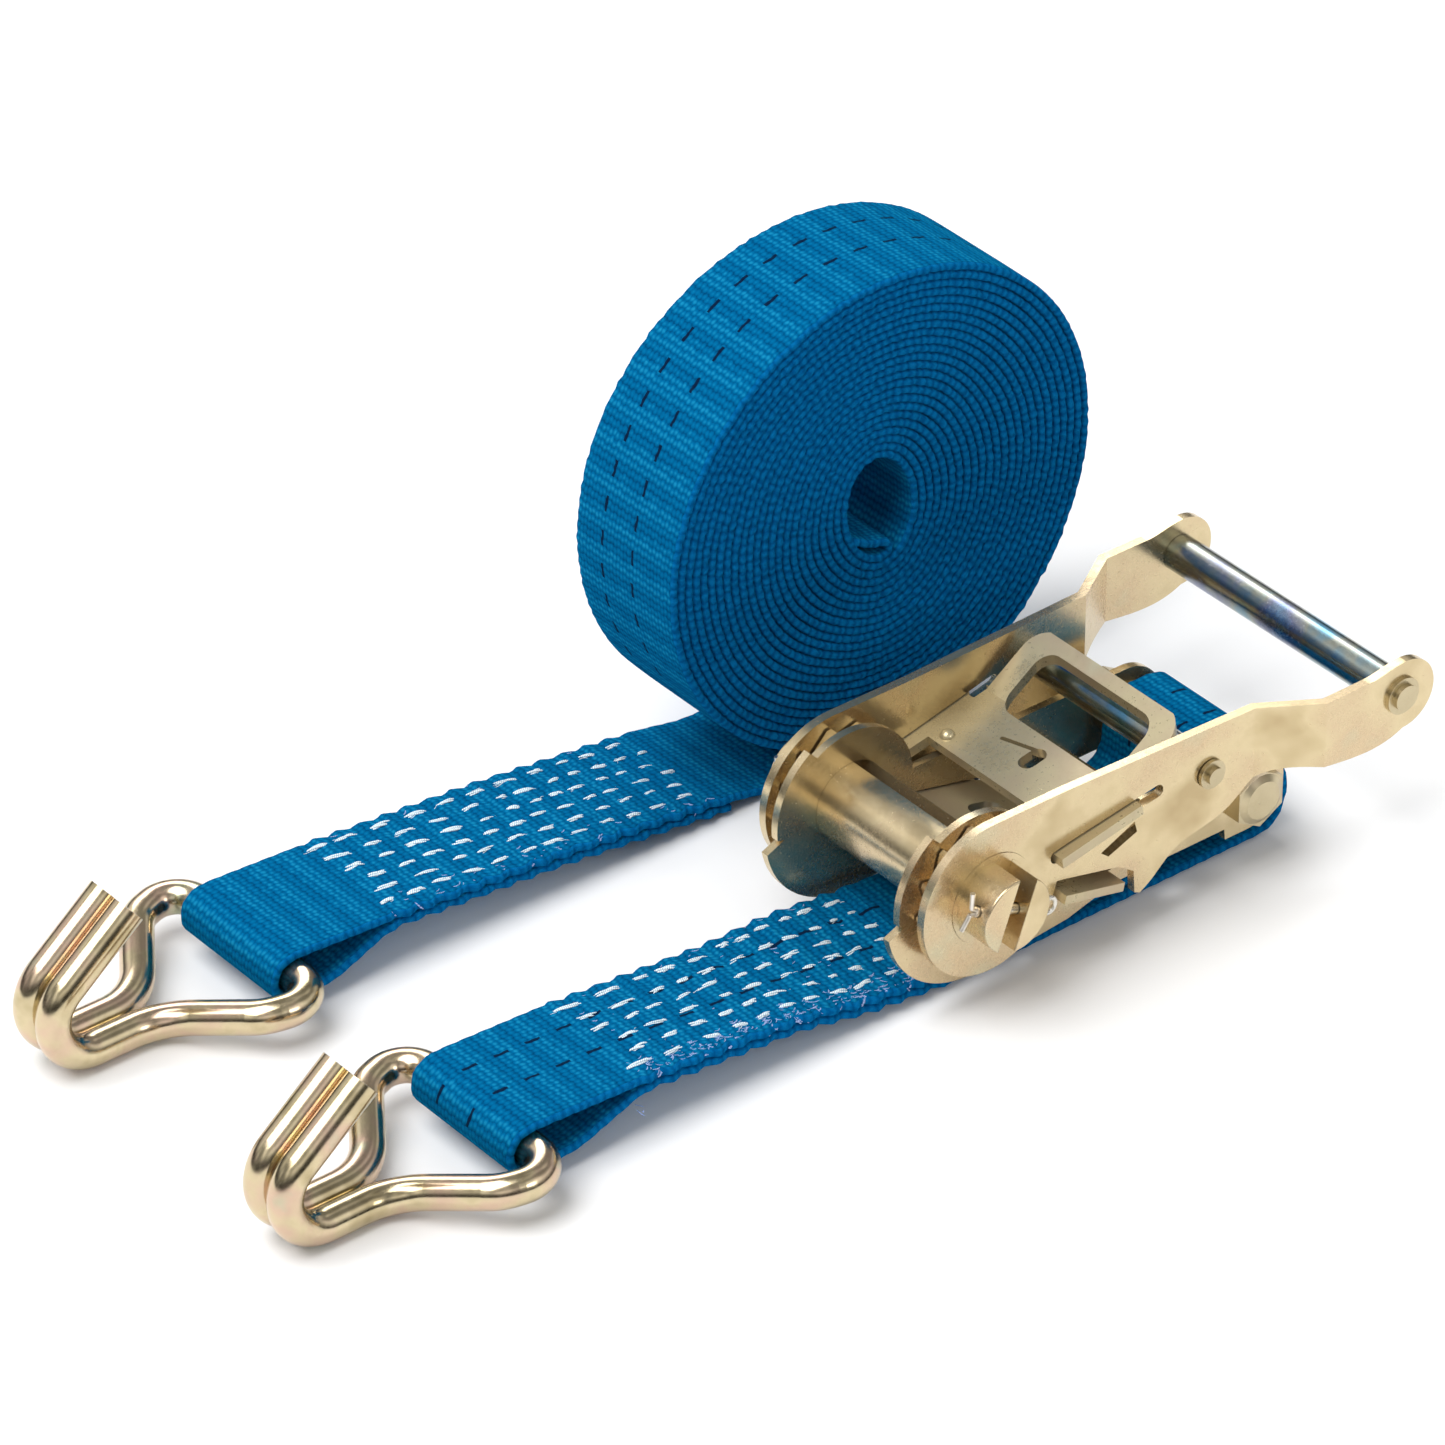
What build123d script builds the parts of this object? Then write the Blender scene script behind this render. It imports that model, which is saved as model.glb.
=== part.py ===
from build123d import *
import os
from math import cos, radians, sin, sqrt

os.makedirs("parts", exist_ok=True)

# Two-piece ratchet lashing strap, 35 mm webbing, lying on the ground (z = 0).
# X runs along the straps from the hooks (-) to the grip (+), Y across, Z up.

# ---- driving dimensions, mm ----
WEB_W = 35.0  # webbing width
WEB_T = 2.2  # webbing thickness
WIRE_R = 4.0  # hook wire radius

DRUM_Z = 29.0  # drum axis above the ground, drum axis at x = 0
SPINDLE_R = 9.8  # split drum, both halves lie on this radius
SPINDLE_GAP = 5.2  # webbing slot between the halves
SPINDLE_TILT = 70.0  # angle of the slot plane from the X axis, degrees
SPINDLE_END_R = 9.2
SPINDLE_HALF_LEN = 37.4
HUB_R = 11.2  # boss of the ratchet wheel that carries the handle
TIP_R, ROOT_R, TEETH = 16.5, 13.4, 12

FRAME_IN, FRAME_OUT = 20.0, 22.0  # inner and outer face of a frame side plate
WHEEL_IN, WHEEL_OUT = 22.4, 25.6
HANDLE_IN, HANDLE_OUT = 26.1, 28.3
FRAME_T = 2.0

BOLT_X, BOLT_Z = 81.0, -10.0  # fixed bolt, from the drum axis
BOLT_R, SLEEVE_R = 4.0, 7.0
HEX_AF, HEX_H, NUT_H = 13.0, 5.3, 6.5

CROSS_X, CROSS_Z = 62.2, 7.0  # cross tube of the handle
GRIP_X, GRIP_Z = 111.0, 11.9  # grip tube of the handle
CROSS_R, GRIP_R, RIVET_R = 4.0, 4.5, 3.0

DRIVE_ANGLE, DRIVE_T = 11.0, 2.6  # drive pawl plate, rising away from the drum
DRIVE_X, DRIVE_Z = 18.0, 2.6  # left end of the pawl's ears
DRIVE_EAR, DRIVE_TRAVEL = 23.5, 6.0
LOCK_ANGLE, LOCK_T = -13.0, 2.2  # lock pawl plate, falling away from the drum
LOCK_X, LOCK_Z = 19.0, -7.5
LOCK_EAR, LOCK_TRAVEL = 17.6, 3.5

LONG_Y = 82.0  # centre line of the long strap
HOOK_X, HOOK_Z = -118.5, 10.0  # cross bar of the short strap's hook
LONG_HOOK_X = -120.3
ROLL_X, ROLL_R, ROLL_Z = 45.9, 62.2, 64.1


# the sub-parts are drawn about the drum axis, then moved so that the origin is at the bottom centre
ORIGIN = Location((29.45, -35.463, 0))


def save(builder, name):
    placed = builder.part.moved(ORIGIN)
    placed.label = name
    export_step(placed, "parts/" + name + ".step")


def side(y, x=0.0, z=0.0):
    """Upright plane along X at depth y, measured from the drum axis; extrudes toward -Y."""
    return Plane(origin=(x, y, DRUM_Z + z), x_dir=(1, 0, 0), z_dir=(0, -1, 0))


def ground(y):
    """Upright plane along X at depth y, measured from the ground."""
    return Plane(origin=(0, y, 0), x_dir=(1, 0, 0), z_dir=(0, -1, 0))


def polar(r, angle):
    return (r * cos(radians(angle)), r * sin(radians(angle)))


def sloped(x, z, angle):
    """Plane lying in a pawl plate: local x up the slope, local y across."""
    a = radians(angle)
    return Plane(origin=(x, 0, DRUM_Z + z), x_dir=(cos(a), 0, sin(a)), z_dir=(-sin(a), 0, cos(a)))


drive_plane = sloped(DRIVE_X, DRIVE_Z, DRIVE_ANGLE)
lock_plane = sloped(LOCK_X, LOCK_Z, LOCK_ANGLE)


# ---- base frame: two side plates, floor web and cross strip ----
def frame_outline():
    with BuildSketch() as outline:
        with BuildLine():
            Line((BOLT_X, 0.7), (sqrt(18.0**2 - 0.49), 0.7))
            ThreePointArc((sqrt(18.0**2 - 0.49), 0.7), polar(18, 60), polar(18, 122))
            Line(polar(18, 122), polar(20.9, 124))
            ThreePointArc(polar(20.9, 124), polar(20.9, 155), polar(20.9, 186))
            Polyline(polar(20.9, 186), polar(19.0, 188), polar(24.2, 191.5))
            ThreePointArc(polar(24.2, 191.5), polar(24.2, 230), (0, -24.2))
            Polyline((0, -24.2), (28, -21.6), (42, -17.8), (74.3, -17.8))
            Polyline((74.3, -17.8), (74.6, BOLT_Z - 10.7), (BOLT_X, BOLT_Z - 10.7))
            ThreePointArc((BOLT_X, BOLT_Z - 10.7), (BOLT_X + 10.7, BOLT_Z), (BOLT_X, 0.7))
        make_face()
        Circle(SPINDLE_R + 0.06, mode=Mode.SUBTRACT)
        with Locations((BOLT_X, BOLT_Z)):
            Circle(BOLT_R + 0.05, mode=Mode.SUBTRACT)
    return outline.sketch


with BuildPart() as base_frame:
    for far_face in (FRAME_OUT, -FRAME_IN):
        with BuildSketch(side(far_face)):
            add(frame_outline())
        extrude(amount=FRAME_T)
    with BuildSketch(Plane.XY.offset(DRUM_Z - 17.8)):
        with Locations((35, 0)):
            Rectangle(37, 2 * FRAME_IN)
        with Locations((62.5, 0)):
            Rectangle(6, 2 * FRAME_IN)
        with Locations((32, 0)):
            RectangleRounded(14, 22, 3, mode=Mode.SUBTRACT)
        with Locations((59.4, 0)):
            RectangleRounded(4, 16, 1.5, mode=Mode.SUBTRACT)
    extrude(amount=FRAME_T)
    # slots for the lock pawl's ears
    with BuildSketch(side(40, LOCK_X, LOCK_Z)):
        with Locations(Location((9.1, -9.1 * sin(radians(13)), 0), (0, 0, LOCK_ANGLE))):
            RectangleRounded(26.6, LOCK_T + 0.7, 0.8)
    extrude(amount=80, mode=Mode.SUBTRACT)
    # stop for the lock pawl's spring
    with BuildSketch(side(4, 52.8, -13.6)):
        Rectangle(1.6, 5.2)
    extrude(amount=8)
save(base_frame, "base_frame")


# ---- fixed bolt with its sleeve and nut ----
with BuildPart() as fixed_bolt:
    with BuildSketch(side(31, BOLT_X, BOLT_Z)):
        Circle(BOLT_R)
    extrude(amount=31 + FRAME_OUT + 0.5)
    with BuildSketch(side(-FRAME_OUT, BOLT_X, BOLT_Z)):
        RegularPolygon(HEX_AF / 2, 6, major_radius=False, rotation=30)
    extrude(amount=HEX_H)
    chamfer(fixed_bolt.edges().filter_by(GeomType.CIRCLE).sort_by(Axis.Y)[-1], 0.6)
    with BuildSketch(side(-FRAME_OUT - HEX_H + 0.9, BOLT_X, BOLT_Z)):
        RegularPolygon(HEX_AF, 6)
        Circle(HEX_AF / 2 - 0.2, mode=Mode.SUBTRACT)
    extrude(amount=2, taper=-60, mode=Mode.SUBTRACT)
save(fixed_bolt, "fixed_bolt")

with BuildPart() as fixed_nut:
    with BuildSketch(side(FRAME_OUT + NUT_H, BOLT_X, BOLT_Z)):
        RegularPolygon(HEX_AF / 2, 6, major_radius=False, rotation=30)
        Circle(BOLT_R + 0.02, mode=Mode.SUBTRACT)
    extrude(amount=NUT_H)
    chamfer(fixed_nut.faces().sort_by(Axis.Y)[-1].edges().filter_by(GeomType.LINE), 0.6)
save(fixed_nut, "fixed_nut")

with BuildPart() as bolt_sleeve:
    with BuildSketch(side(FRAME_IN - 0.1, BOLT_X, BOLT_Z)):
        Circle(SLEEVE_R)
        Circle(BOLT_R + 0.05, mode=Mode.SUBTRACT)
    extrude(amount=2 * FRAME_IN - 0.2)
    chamfer(bolt_sleeve.edges().filter_by(GeomType.CIRCLE), 0.4)
save(bolt_sleeve, "bolt_sleeve")


# ---- split drum ----
def half_disc(radius):
    """D-shaped section whose flat faces +x in the slot's own frame."""
    Circle(radius)
    with Locations((radius - SPINDLE_GAP / 2, 0)):
        Rectangle(2 * radius, 2 * radius + 2, mode=Mode.SUBTRACT)


def slot_plane(y, turn):
    """Like side(), turned about the drum axis."""
    x_dir = (cos(radians(turn)), 0, sin(radians(turn)))
    return Plane(origin=(0, y, DRUM_Z), x_dir=x_dir, z_dir=(0, -1, 0))


PIN_Y = 33.6  # cotter pins cross the drum ends here


def spindle_half(turn):
    for half_length, radius in ((WHEEL_OUT + 3, SPINDLE_R), (SPINDLE_HALF_LEN, SPINDLE_END_R)):
        with BuildSketch(slot_plane(half_length, turn)) as section:
            half_disc(radius)
        extrude(section.sketch, amount=2 * half_length)


with BuildPart() as spindle_half_left:
    spindle_half(SPINDLE_TILT - 90)
    fillet(spindle_half_left.faces().sort_by(Axis.Y)[0].edges(), 0.5)
    fillet(spindle_half_left.faces().sort_by(Axis.Y)[-1].edges(), 0.5)
    for y in (-PIN_Y, PIN_Y):
        with Locations(Location((0, y, DRUM_Z), (0, 90 - (SPINDLE_TILT - 90), 0))):
            Cylinder(1.4, 40, mode=Mode.SUBTRACT)
save(spindle_half_left, "spindle_half_left")

with BuildPart() as spindle_half_right:
    spindle_half(SPINDLE_TILT + 90)
    fillet(spindle_half_right.faces().sort_by(Axis.Y)[0].edges(), 0.5)
    fillet(spindle_half_right.faces().sort_by(Axis.Y)[-1].edges(), 0.5)
    for y in (-PIN_Y, PIN_Y):
        with Locations(Location((0, y, DRUM_Z), (0, 90 - (SPINDLE_TILT - 90), 0))):
            Cylinder(1.4, 40, mode=Mode.SUBTRACT)
save(spindle_half_right, "spindle_half_right")


# ---- ratchet wheels ----
def wheel_outline():
    pitch = 360.0 / TEETH
    pts = []
    for i in range(TEETH):
        pts.append(polar(ROOT_R, i * pitch))
        pts.append(polar(TIP_R, i * pitch + 0.12 * pitch))
        pts.append(polar(TIP_R, i * pitch + 0.26 * pitch))
    with BuildSketch() as outline:
        with BuildLine():
            Polyline(*pts, close=True)
        make_face()
    return outline.sketch


def spindle_bores(y, turn_list):
    for turn in turn_list:
        with BuildSketch(slot_plane(y, turn)) as bore:
            Circle(SPINDLE_R + 0.02)
            with Locations((SPINDLE_R - SPINDLE_GAP / 2 + 0.03, 0)):
                Rectangle(2 * SPINDLE_R, 2 * SPINDLE_R + 2, mode=Mode.SUBTRACT)
        extrude(bore.sketch, amount=12, mode=Mode.SUBTRACT)


with BuildPart() as ratchet_wheel_near:
    with BuildSketch(side(-WHEEL_IN)):
        add(wheel_outline())
    extrude(amount=WHEEL_OUT - WHEEL_IN)
    with BuildSketch(side(-WHEEL_OUT)):
        Circle(HUB_R)
    extrude(amount=HANDLE_OUT + 0.2 - WHEEL_OUT)
    spindle_bores(-20, (SPINDLE_TILT - 90, SPINDLE_TILT + 90))
save(ratchet_wheel_near, "ratchet_wheel_near")

with BuildPart() as ratchet_wheel_far:
    with BuildSketch(side(WHEEL_OUT)):
        add(wheel_outline())
    extrude(amount=WHEEL_OUT - WHEEL_IN)
    with BuildSketch(side(HANDLE_OUT + 0.2)):
        Circle(HUB_R)
    extrude(amount=HANDLE_OUT + 0.2 - WHEEL_OUT)
    spindle_bores(30, (SPINDLE_TILT - 90, SPINDLE_TILT + 90))
save(ratchet_wheel_far, "ratchet_wheel_far")

# ---- cotter pins, one through each end of the drum ----
pin_dir = polar(1, SPINDLE_TILT - 90)  # points to +x, square to the slot
pin_up = (-pin_dir[1], pin_dir[0])


def pin_point(along, up, y):
    return (
        along * pin_dir[0] + up * pin_up[0],
        y,
        DRUM_Z + along * pin_dir[1] + up * pin_up[1],
    )


with BuildPart() as cotter_pins:
    for y in (-PIN_Y, PIN_Y):
        eye = Plane(
            origin=pin_point(12.6, 0, y),
            x_dir=(pin_dir[0], 0, pin_dir[1]),
            z_dir=(0, -1, 0),
        )
        with BuildSketch(Plane(eye.origin, x_dir=(0, 1, 0), z_dir=eye.x_dir).offset(-22.6)):
            Circle(1.2)
        extrude(amount=20.9)
        with Locations(eye):
            Torus(1.9, 0.6)
        for up in (1, -1):
            with BuildLine() as leg:
                Line(pin_point(-9.9, 0.55 * up, y), pin_point(-11.2, 0.9 * up, y))
                Line(pin_point(-11.2, 0.9 * up, y), pin_point(-12.3, 4.6 * up, y))
            with BuildSketch(Plane(leg.line @ 0, z_dir=leg.line % 0)):
                Circle(0.6)
            sweep(path=leg.line, transition=Transition.ROUND)
save(cotter_pins, "cotter_pins")


# ---- handle plates ----
def handle_outline():
    with BuildSketch() as outline:
        with BuildLine():
            Line((0, 19.3), (101, 19.0))
            Spline((101, 19.0), (112, 20.4), tangents=[(1, 0), (1, 0)])
            ThreePointArc((112, 20.4), (120.9, 11.5), (112, 2.6))
            Spline((112, 2.6), (90, 1.7), (76.3, 1.4), (67.3, -4.8), (52.1, -9.8), (46.2, -15.0), (43.0, -17.3))
            Polyline((43.0, -17.3), (41.4, -16.6), (41.0, -10.6), (36.4, -7.6), (18.9, -3.9), (0, 0), (0, 19.3))
        make_face()
        Circle(19.3)
    return outline.sketch


def handle_cuts():
    run = (DRIVE_EAR + DRIVE_TRAVEL + 2.8) / 2
    slot_at = (DRIVE_X + run * cos(radians(DRIVE_ANGLE)) - 1.0, DRIVE_Z + run * sin(radians(DRIVE_ANGLE)) - 0.2, 0)
    with BuildSketch(side(-20)) as cuts:
        Circle(HUB_R + 0.06)
        with Locations((CROSS_X, CROSS_Z), (GRIP_X, GRIP_Z)):
            Circle(RIVET_R + 0.03)
        with Locations(Location(slot_at, (0, 0, DRIVE_ANGLE))):
            RectangleRounded(2 * run, DRIVE_T + 0.7, 1.6)
        # window beside the drive spring
        with BuildLine(mode=Mode.PRIVATE) as window:
            Polyline((31.4, -1.8), (40.8, 2.8), (41.6, -0.2), (33.6, -3.6), close=True)
        make_face(window.line)
    return cuts.sketch


with BuildPart() as handle_plate_near:
    with BuildSketch(Plane.XY):
        with BuildLine():
            Polyline(
                (-22, -HANDLE_IN), (22, -HANDLE_IN), (75.4, -27.9), (89.0, -36.4), (124, -36.4),
                (124, -38.6), (88.4, -38.6), (74.8, -30.1), (22, -HANDLE_OUT), (-22, -HANDLE_OUT), close=True,
            )
        make_face()
    extrude(amount=60)
    with BuildSketch(side(-20)):
        add(handle_outline())
    extrude(amount=30, mode=Mode.INTERSECT)
    extrude(handle_cuts(), amount=40, mode=Mode.SUBTRACT)
    # abutment of the drive spring
    with BuildSketch(side(-22.6, DRIVE_X, DRIVE_Z)):
        with Locations(Location((27.0, -0.2, 0), (0, 0, DRIVE_ANGLE))):
            Rectangle(1.2, 5.4)
    extrude(amount=HANDLE_IN + 0.6 - 22.6)
save(handle_plate_near, "handle_plate_near")

with BuildPart() as handle_plate_far:
    add(handle_plate_near.part.mirror(Plane.XZ))
save(handle_plate_far, "handle_plate_far")


# ---- tubes and rivets of the handle ----
def tube(x, z, radius, half):
    with BuildSketch(side(half, x, z)) as section:
        Circle(radius)
        Circle(RIVET_R + 0.03, mode=Mode.SUBTRACT)
    extrude(section.sketch, amount=2 * half)


def disc(x, z, radius, far_face, near_face):
    with BuildSketch(side(far_face, x, z)) as section:
        Circle(radius)
    extrude(section.sketch, amount=far_face - near_face)


def rivet(x, z, face, flange_r, head_r):
    disc(x, z, RIVET_R, face, -face)
    for outer, radius in ((face + 0.9, flange_r), (face + 2.1, head_r)):
        disc(x, z, radius, outer, face)
        disc(x, z, radius, -face, -outer)


with BuildPart() as cross_tube:
    tube(CROSS_X, CROSS_Z, CROSS_R, 27.2)
save(cross_tube, "cross_tube")

with BuildPart() as cross_rivet:
    rivet(CROSS_X, CROSS_Z, 29.85, 3.6, 2.2)
save(cross_rivet, "cross_rivet")

with BuildPart() as grip_tube:
    tube(GRIP_X, GRIP_Z, GRIP_R, 36.3)
save(grip_tube, "grip_tube")

with BuildPart() as grip_rivet:
    rivet(GRIP_X, GRIP_Z, 38.6, 4.6, 3.2)
save(grip_rivet, "grip_rivet")


# ---- drive pawl: sliding plate with ears in the handle's slots and a raised pull ----
with BuildPart() as drive_pawl:
    with BuildSketch(drive_plane):
        with BuildLine():
            Polyline((8, -25.7), (8, 25.7), (27, 25.7), (27, -25.7), close=True)
        make_face()
        with Locations((3.4, 24.05), (3.4, -24.05)):
            Rectangle(9.4, 3.2)
        with Locations((DRIVE_EAR / 2, 0)):
            Rectangle(DRIVE_EAR, 62.4)
        with Locations((3.4, 0)):
            Rectangle(6.9, 44.9, mode=Mode.SUBTRACT)
        for across in (25.7, -25.7):
            with Locations((24.5, across)):
                Circle(2.4, mode=Mode.SUBTRACT)
        # keyhole: a narrow slit running into a rounded hole
        with Locations((17.5, -1)):
            SlotOverall(7.2, 4.4, mode=Mode.SUBTRACT)
        with Locations(Location((18.8, 4.5, 0), (0, 0, 105))):
            SlotOverall(11, 1.1, mode=Mode.SUBTRACT)
    extrude(amount=DRIVE_T / 2, both=True)
    # pull with its finger opening, bent up from the plate
    with BuildSketch(Plane(drive_plane.origin, x_dir=drive_plane.x_dir, z_dir=(0, -1, 0)).offset(-24.6)):
        with BuildLine():
            Polyline(
                (22, -DRIVE_T / 2), (26.5, -DRIVE_T / 2), (43.6, 6.2), (43.2, 8.9),
                (26, DRIVE_T / 2), (22, DRIVE_T / 2), close=True,
            )
        make_face()
    extrude(amount=49.2)
    with BuildSketch(drive_plane):
        with Locations((32.0, 0)):
            RectangleRounded(16, 37.4, 4.5)
    extrude(amount=20, both=True, mode=Mode.SUBTRACT)
    # rounded outer corners of the pull
    with BuildSketch(drive_plane):
        with Locations((41.6, 22.6), (41.6, -22.6)):
            Rectangle(8, 8)
        with Locations((37.6, 18.6), (37.6, -18.6)):
            Circle(6, mode=Mode.SUBTRACT)
    extrude(amount=20, both=True, mode=Mode.SUBTRACT)
    # lugs that push on the springs
    with BuildSketch(Plane(drive_plane.origin, x_dir=drive_plane.x_dir, z_dir=(0, -1, 0)).offset(-25.6)):
        with Locations((11, -2.6)):
            Rectangle(1.4, 4.4)
    extrude(amount=3.1)
    with BuildSketch(Plane(drive_plane.origin, x_dir=drive_plane.x_dir, z_dir=(0, -1, 0)).offset(22.5)):
        with Locations((11, -2.6)):
            Rectangle(1.4, 4.4)
    extrude(amount=3.1)
    with Locations(drive_plane.offset(DRIVE_T / 2)):
        with Locations((10.0, 19.5, -0.5)):
            Sphere(1.9)
save(drive_pawl, "drive_pawl")


# ---- lock pawl: sliding plate in the frame ----
with BuildPart() as lock_pawl:
    with BuildSketch(lock_plane):
        with Locations((LOCK_EAR / 2, 0)):
            Rectangle(LOCK_EAR, 62.6)
        with Locations((0.5, 24.0), (0.5, -24.0)):
            Rectangle(7.0, 3.2)
        with Locations((20, 0)):
            Rectangle(12, 39.4)
        with Locations((10.5, 0)):
            RectangleRounded(9, 22, 3, mode=Mode.SUBTRACT)
    extrude(amount=LOCK_T / 2, both=True)
    with BuildSketch(Plane(lock_plane.origin, x_dir=lock_plane.x_dir, z_dir=(0, -1, 0)).offset(-3)):
        with Locations((23.6, 2.3)):
            Rectangle(1.6, 5.0)
    extrude(amount=6)
save(lock_pawl, "lock_pawl")


# ---- springs ----
def coil(origin, direction, length, radius, wire, turns):
    with BuildLine() as path:
        Helix(pitch=length / turns, height=length, radius=radius, center=origin, direction=direction)
    with BuildSketch(Plane(path.line @ 0, z_dir=path.line % 0)) as section:
        Circle(wire)
    sweep(section.sketch, path=path.line, is_frenet=True)


DRIVE_SPRING_LEN = 13.4
drive_dir = drive_plane.x_dir
lock_dir = lock_plane.x_dir

with BuildPart() as drive_spring_near:
    coil(drive_plane.from_local_coords(Vector(12.3, -24.1, -3.3)), drive_dir, DRIVE_SPRING_LEN, 1.3, 0.3, 9)
save(drive_spring_near, "drive_spring_near")

with BuildPart() as drive_spring_far:
    coil(drive_plane.from_local_coords(Vector(12.3, 24.1, -3.3)), drive_dir, DRIVE_SPRING_LEN, 1.3, 0.3, 9)
save(drive_spring_far, "drive_spring_far")

with BuildPart() as lock_spring:
    coil(lock_plane.from_local_coords(Vector(24.8, 0, 3.2)), lock_dir, 7.9, 1.6, 0.35, 6)
save(lock_spring, "lock_spring")


# ---- short strap: hook loop, sewn double run under the frame, loop round the bolt ----
def ribbon(points, radius, width=WEB_T):
    with BuildLine() as centre:
        FilletPolyline(*points, radius=radius)
    trace(centre.line, line_width=width)


with BuildPart() as short_strap:
    with BuildSketch(ground(WEB_W / 2)):
        ribbon(
            [(-4, 5.7), (-40, 9.7), (-88, 14.0), (HOOK_X - 5.6, 15.7), (HOOK_X - 5.6, 4.3),
             (-106, 4.9), (-88, 11.8), (-40, 7.5), (-4, 3.5)],
            4.6,
        )
        ribbon(
            [(-4, 5.7), (14, 4.6), (58, 5.4), (72.6, 13.0), (72.6, 27.4), (89.4, 27.4), (97.5, 12.0),
             (94.5, 1.2), (14, 1.2), (-4, 3.5)],
            4.0,
        )
        with BuildLine():
            Polyline(
                (-89, 13.4), (-40, 8.9), (-4, 4.8), (24, 3.6), (24, 2.6), (-4, 4.2), (-40, 8.3),
                (-89, 12.4), close=True,
            )
        make_face()
    extrude(amount=WEB_W)
save(short_strap, "short_strap")


# ---- rows of lockstitching ----
def stitch_rows(points, centre_y):
    for row in range(6):
        with BuildSketch(ground(centre_y + 13.5 - 5.2 * row)) as rows:
            ribbon(points, 1.0, 0.5)
        extrude(rows.sketch, amount=1.0)


with BuildPart() as short_stitching:
    stitch_rows([(-86, 15.25), (-40, 11.15), (-6, 7.35)], 0)
save(short_stitching, "short_stitching")

with BuildPart() as long_stitching:
    stitch_rows([(-92, 15.15), (-45, 11.15), (-11, 7.35)], LONG_Y)
save(long_stitching, "long_stitching")

# ---- long strap: hook loop, seam, tail and the roll standing on the tail ----
with BuildPart() as long_strap:
    with BuildSketch(ground(LONG_Y + WEB_W / 2)):
        ribbon(
            [(-9, 5.7), (-45, 9.7), (-94, 13.9), (LONG_HOOK_X - 5.6, 15.7), (LONG_HOOK_X - 5.6, 4.3),
             (-110, 4.9), (-94, 11.7), (-45, 7.5), (-9, 3.5), (6, 1.3), (52, 1.3)],
            4.6,
        )
        with BuildLine():
            Polyline((-95, 13.3), (-45, 8.9), (-7, 4.8), (-7, 3.4), (-45, 8.3), (-95, 12.3), close=True)
        make_face()
    extrude(amount=WEB_W)
    with BuildSketch(ground(LONG_Y + WEB_W / 2)):
        with Locations((ROLL_X, ROLL_Z)):
            Circle(ROLL_R)
        with Locations(Location((ROLL_X - 1, ROLL_Z + 1, 0), (0, 0, 100))):
            Ellipse(13.5, 9.0, mode=Mode.SUBTRACT)
    extrude(amount=WEB_W)
save(long_strap, "long_strap")


# ---- double-J hooks bent from one wire ----
J_X, J_Z, J_R = -45.0, 14.5, 10.5  # bend centre, x from the cross bar, z from the ground
WIRE_Y = WIRE_R + 0.15


def hook_half(bar_x, centre_y, hand):
    def at(x, y, z):
        return (bar_x + x, centre_y + hand * y, z)

    lift = radians(129)
    end = (J_X + J_R * cos(lift), J_Z + J_R * sin(lift))
    tip = (end[0] + 22 * cos(radians(39)), end[1] + 22 * sin(radians(39)))
    mid = radians(199.5)
    with BuildLine() as wire:
        FilletPolyline(
            at(0, 0, HOOK_Z), at(0, -28.0, HOOK_Z), at(-13.5, -24.0, 9.0), at(-27.5, -WIRE_Y, J_Z - J_R),
            at(J_X, -WIRE_Y, J_Z - J_R),
            radius=[7.0, 9.0, 16.0],
        )
        ThreePointArc(
            at(J_X, -WIRE_Y, J_Z - J_R),
            at(J_X + J_R * cos(mid), -WIRE_Y, J_Z + J_R * sin(mid)),
            at(end[0], -WIRE_Y, end[1]),
        )
        Line(at(end[0], -WIRE_Y, end[1]), at(tip[0], -WIRE_Y, tip[1]))
    with BuildSketch(Plane(wire.line @ 0, z_dir=wire.line % 0)) as section:
        Circle(WIRE_R)
    sweep(section.sketch, path=wire.line)


with BuildPart() as short_hook:
    hook_half(HOOK_X, 0, 1)
    hook_half(HOOK_X, 0, -1)
save(short_hook, "short_hook")

with BuildPart() as long_hook:
    hook_half(LONG_HOOK_X, LONG_Y, 1)
    hook_half(LONG_HOOK_X, LONG_Y, -1)
save(long_hook, "long_hook")
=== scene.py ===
import random
from math import atan2, cos, hypot, pi, radians, sin, sqrt

import bpy
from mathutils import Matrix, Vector


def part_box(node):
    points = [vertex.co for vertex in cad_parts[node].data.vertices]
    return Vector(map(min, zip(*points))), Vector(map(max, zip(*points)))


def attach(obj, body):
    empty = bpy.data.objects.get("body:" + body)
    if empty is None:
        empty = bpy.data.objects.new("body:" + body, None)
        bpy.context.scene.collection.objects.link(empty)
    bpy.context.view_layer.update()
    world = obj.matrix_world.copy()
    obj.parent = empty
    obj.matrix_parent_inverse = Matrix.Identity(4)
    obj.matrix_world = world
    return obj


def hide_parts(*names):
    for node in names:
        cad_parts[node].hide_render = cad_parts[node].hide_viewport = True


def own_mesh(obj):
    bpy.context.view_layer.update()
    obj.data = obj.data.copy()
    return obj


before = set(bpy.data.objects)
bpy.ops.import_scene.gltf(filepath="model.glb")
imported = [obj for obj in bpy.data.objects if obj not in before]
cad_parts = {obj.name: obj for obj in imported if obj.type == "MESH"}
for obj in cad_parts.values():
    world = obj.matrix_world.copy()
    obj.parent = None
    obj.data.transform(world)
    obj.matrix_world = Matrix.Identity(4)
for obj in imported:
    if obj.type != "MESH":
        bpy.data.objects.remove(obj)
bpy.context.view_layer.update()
random.seed(7)

# ---- drum coordinates in mm: x from the drum axis, y from the ratchet's middle, z from the ground
wheel_lo, wheel_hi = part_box("ratchet_wheel_near")
frame_lo, frame_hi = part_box("base_frame")
OX = (wheel_lo.x + wheel_hi.x) / 2
OY = (frame_lo.y + frame_hi.y) / 2


def place(x, y, z):
    """A point in drum coordinates, in the frame's metres."""
    return (OX + x / 1000, OY + y / 1000, z / 1000)


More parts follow.
